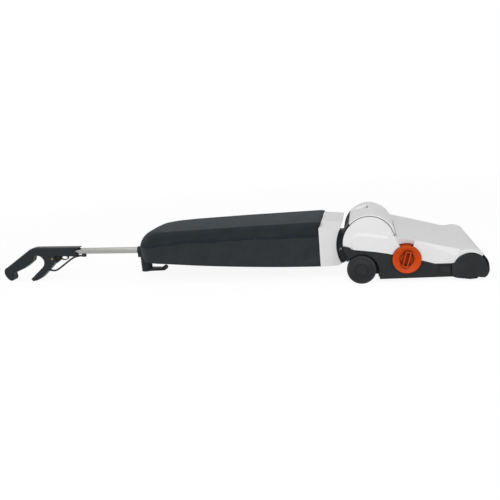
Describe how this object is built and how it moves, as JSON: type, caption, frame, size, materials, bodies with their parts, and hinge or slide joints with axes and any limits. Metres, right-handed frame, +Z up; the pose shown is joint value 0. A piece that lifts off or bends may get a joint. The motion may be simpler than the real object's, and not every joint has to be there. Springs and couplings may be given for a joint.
{
  "type": "upright vacuum cleaner",
  "caption": "Upright vacuum cleaner lowered flat: powered brush head on wheels, hinged motor drum, soft bag on a rigid tray, metal tube and curved handle with cord horn.",
  "frame": {"origin": "on the floor, halfway along the machine and on the middle plane of its head", "axes": "+X from the handle towards the brush, +Y to the machine's left, +Z up"},
  "size_m": [1.2143, 0.3064, 0.1498],
  "materials": {
    "white_plastic": "semi-matt moulded ABS",
    "dark_plastic": "matt moulded plastic",
    "handle_plastic": "satin moulded plastic",
    "orange_plastic": "satin moulded plastic",
    "rubber": "matt rubber",
    "tube_steel": "polished metal tube",
    "steel": "bright steel",
    "brass": "brass screws",
    "bag_cloth": "tight woven nylon",
    "tray_shell": "fine-grained moulded plastic",
    "paper": "filter paper",
    "bristle": "nylon bristle",
    "motor": "painted motor can",
    "foam": "filter foam",
    "lead_jacket": "flexible cord jacket"
  },
  "bodies": {
    "head": {"chassis": "dark_plastic", "soleplate": "tube_steel", "head_screws": "steel", "front_bumper": "dark_plastic", "end_cap_right": "dark_plastic", "end_cap_left": "dark_plastic", "top_cover": "white_plastic", "hinge_bracket_right": "steel", "hinge_bracket_left": "steel", "hinge_bushes": "brass", "rear_axle": "steel", "brush_motor": "motor", "motor_saddles": "dark_plastic", "drive_belt": "rubber", "brush_bearings": "brass", "intake_duct": "dark_plastic", "pedal_pin": "steel"},
    "latch": {"brush_latch": "dark_plastic"},
    "wheel_right": {"wheel_tyre_right": "rubber", "wheel_hub_right": "dark_plastic"},
    "wheel_left": {"wheel_tyre_left": "rubber", "wheel_hub_left": "dark_plastic"},
    "carriage": {"roller_carriage": "dark_plastic", "roller_pins": "steel"},
    "roller_right": {"front_roller_right": "rubber"},
    "roller_left": {"front_roller_left": "rubber"},
    "knob": {"height_knob": "orange_plastic", "height_cam": "dark_plastic"},
    "brush": {"brush_core": "dark_plastic", "brush_bristles": "bristle", "brush_pulley": "dark_plastic"},
    "drive_shaft": {"motor_pulley": "steel"},
    "pedal": {"release_pedal": "dark_plastic"},
    "upper": {"motor_hood": "white_plastic", "swivel_neck": "dark_plastic", "exhaust_grille": "dark_plastic", "exhaust_filter": "foam", "suction_motor": "motor", "motor_mounts": "rubber", "fan_housing": "dark_plastic", "bag_base": "white_plastic", "bag_port": "dark_plastic", "bag_tray": "tray_shell", "bag_cover": "bag_cloth", "dust_bag": "paper", "handle_tube": "tube_steel", "tube_collar": "dark_plastic", "hook_base": "dark_plastic", "handle_right": "handle_plastic", "handle_left": "handle_plastic", "handle_screws": "brass", "cord_inlet": "dark_plastic", "strain_boot": "rubber", "cord_clip": "rubber", "lead_gland": "rubber", "link_lead": "lead_jacket"},
    "hood_catch": {"hood_latch": "dark_plastic"},
    "fan": {"fan_wheel": "dark_plastic"},
    "hook": {"cord_hook": "dark_plastic"},
    "switch": {"power_switch": "dark_plastic"}
  },
  "joints": [
    {"name": "body_tilt", "type": "hinge", "parent": "head", "child": "upper", "pos_m": [0.36235, 0, 0.092], "axis": [0, 1, 0], "range_deg": [0, 90]},
    {"name": "wheel_right_spin", "type": "hinge", "parent": "head", "child": "wheel_right", "pos_m": [0.34335, -0.138, 0.0314], "axis": [0, 1, 0], "continuous": true},
    {"name": "wheel_left_spin", "type": "hinge", "parent": "head", "child": "wheel_left", "pos_m": [0.34335, 0.138, 0.0314], "axis": [0, 1, 0], "continuous": true},
    {"name": "knob_turn", "type": "hinge", "parent": "head", "child": "knob", "pos_m": [0.43935, -0.14, 0.0505], "axis": [0, 1, 0], "range_deg": [0, 180]},
    {"name": "carriage_lift", "type": "hinge", "parent": "head", "child": "carriage", "pos_m": [0.39935, 0, 0.022], "axis": [0, 1, 0], "range_deg": [0, 4]},
    {"name": "roller_right_spin", "type": "hinge", "parent": "carriage", "child": "roller_right", "pos_m": [0.51535, -0.101, 0.011], "axis": [0, 1, 0], "continuous": true},
    {"name": "roller_left_spin", "type": "hinge", "parent": "carriage", "child": "roller_left", "pos_m": [0.51535, 0.101, 0.011], "axis": [0, 1, 0], "continuous": true},
    {"name": "brush_spin", "type": "hinge", "parent": "head", "child": "brush", "pos_m": [0.57035, 0, 0.028], "axis": [0, 1, 0], "continuous": true},
    {"name": "drive_spin", "type": "hinge", "parent": "head", "child": "drive_shaft", "pos_m": [0.47535, 0.128, 0.044], "axis": [0, 1, 0], "continuous": true},
    {"name": "latch_press", "type": "slide", "parent": "head", "child": "latch", "axis": [0, 1, 0], "range_m": [0, 0.004], "stiffness_N_per_m": 400},
    {"name": "pedal_press", "type": "hinge", "parent": "head", "child": "pedal", "pos_m": [0.33735, 0.11, 0.056], "axis": [0, 1, 0], "range_deg": [-12, 0], "stiffness_Nm_per_rad": 0.5, "springref_deg": 8.59},
    {"name": "hood_latch_slide", "type": "slide", "parent": "upper", "child": "hood_catch", "axis": [-1, 0, 0], "range_m": [0, 0.0022], "stiffness_N_per_m": 300},
    {"name": "fan_spin", "type": "hinge", "parent": "upper", "child": "fan", "pos_m": [0.36235, 0.017, 0.092], "axis": [0, 1, 0], "continuous": true},
    {"name": "hook_swivel", "type": "hinge", "parent": "upper", "child": "hook", "pos_m": [-0.20315, 0, 0.032], "axis": [0, 0, 1], "range_deg": [0, 180]},
    {"name": "switch_rock", "type": "hinge", "parent": "upper", "child": "switch", "pos_m": [-0.49365, 0.0085, 0.078], "axis": [0, 0, 1], "range_deg": [-7, 7]}
  ],
  "couplings": [
    {"joint": "carriage_lift", "follows": "knob_turn", "ratio": 0.0222},
    {"joint": "drive_spin", "follows": "brush_spin", "ratio": 2}
  ]
}
